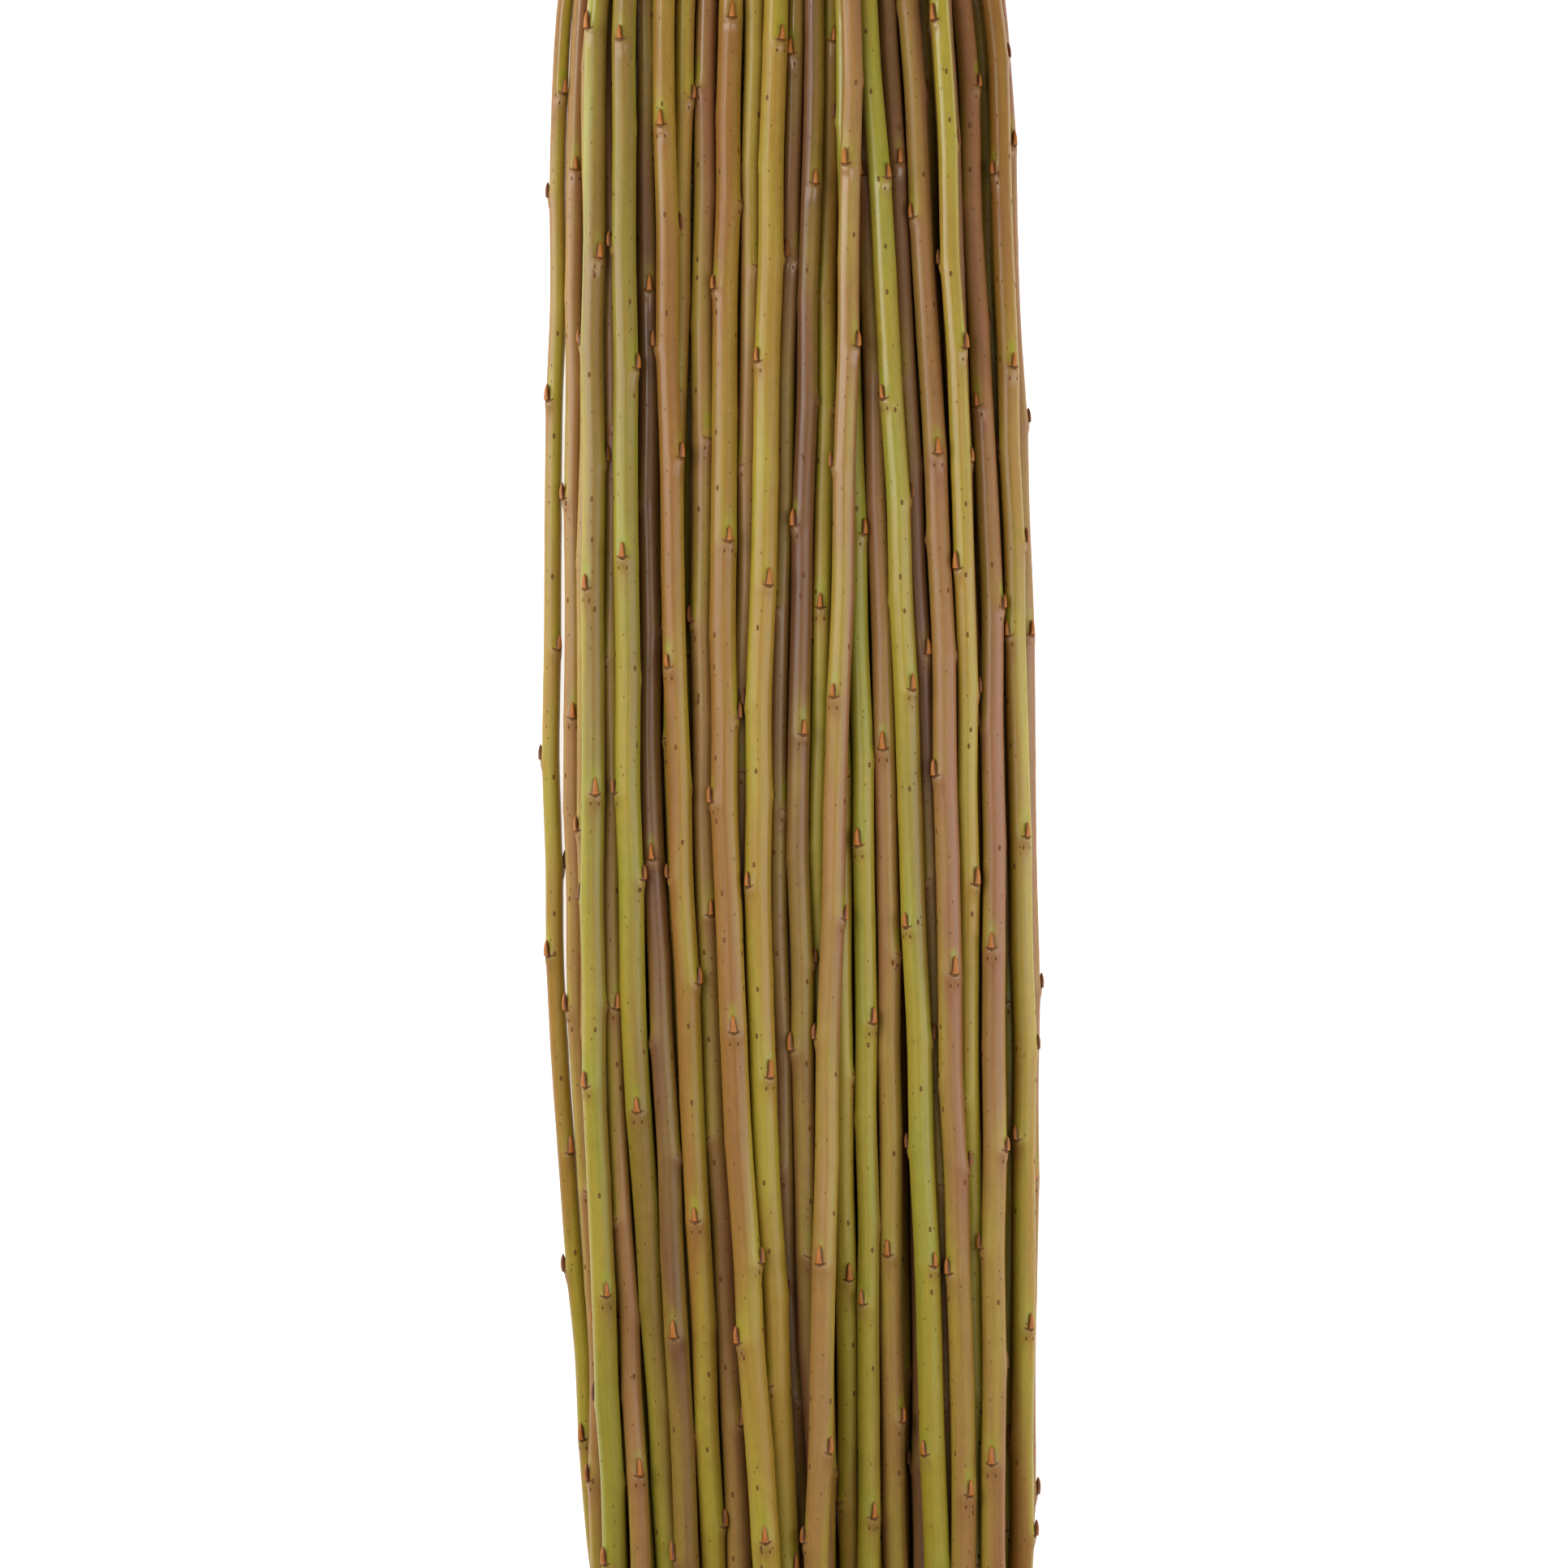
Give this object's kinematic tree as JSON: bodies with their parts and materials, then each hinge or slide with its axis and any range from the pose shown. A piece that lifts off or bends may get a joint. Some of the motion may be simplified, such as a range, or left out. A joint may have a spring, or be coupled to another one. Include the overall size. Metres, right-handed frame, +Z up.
{
  "type": "bunch of willow stems",
  "caption": "Tied bunch of long, bare, cut willow stems with small pointed buds, lying flat on a surface with its cut butts towards -Y and its tips towards +Y.",
  "frame": {"origin": "on the surface the bunch lies on, under the middle of its box", "axes": "+Y along the bunch from the cut butts to the tips, +Z up, +X to the right with the tips ahead"},
  "size_m": [0.1282, 1.02, 0.0481],
  "materials": {
    "olive_bark": "satin olive-yellow young bark",
    "green_bark": "satin grey-green young bark",
    "rose_bark": "satin pinkish tan young bark",
    "brown_bark": "satin purple-brown young bark",
    "twine": "natural jute twine"
  },
  "bodies": {
    "root": {"stem_01": "olive_bark", "stem_02": "rose_bark", "stem_03": "rose_bark", "stem_04": "green_bark", "stem_05": "rose_bark", "stem_06": "green_bark", "stem_07": "brown_bark", "stem_08": "olive_bark", "stem_09": "olive_bark", "stem_10": "rose_bark", "stem_11": "olive_bark", "stem_12": "rose_bark", "stem_13": "olive_bark", "stem_14": "brown_bark", "stem_15": "brown_bark", "stem_16": "olive_bark", "stem_17": "rose_bark", "stem_18": "olive_bark", "stem_19": "green_bark", "stem_20": "rose_bark", "stem_21": "green_bark", "stem_22": "brown_bark", "stem_23": "rose_bark", "stem_24": "olive_bark", "stem_25": "rose_bark", "stem_26": "green_bark", "stem_27": "olive_bark", "stem_28": "rose_bark", "stem_29": "olive_bark", "stem_30": "green_bark", "stem_31": "green_bark", "stem_32": "olive_bark", "stem_33": "rose_bark", "stem_34": "green_bark", "stem_35": "olive_bark", "stem_36": "olive_bark", "stem_37": "brown_bark", "stem_38": "olive_bark", "stem_39": "rose_bark", "stem_40": "green_bark", "stem_41": "brown_bark", "stem_42": "olive_bark", "stem_43": "rose_bark", "stem_44": "olive_bark", "stem_45": "olive_bark", "stem_46": "olive_bark", "stem_47": "rose_bark", "stem_48": "green_bark", "stem_49": "olive_bark", "stem_50": "green_bark", "stem_51": "brown_bark", "stem_52": "olive_bark", "stem_53": "green_bark", "stem_54": "olive_bark", "stem_55": "olive_bark", "stem_56": "brown_bark", "stem_57": "brown_bark", "stem_58": "brown_bark", "butt_tie": "twine", "tip_tie": "twine"}
  },
  "joints": []
}
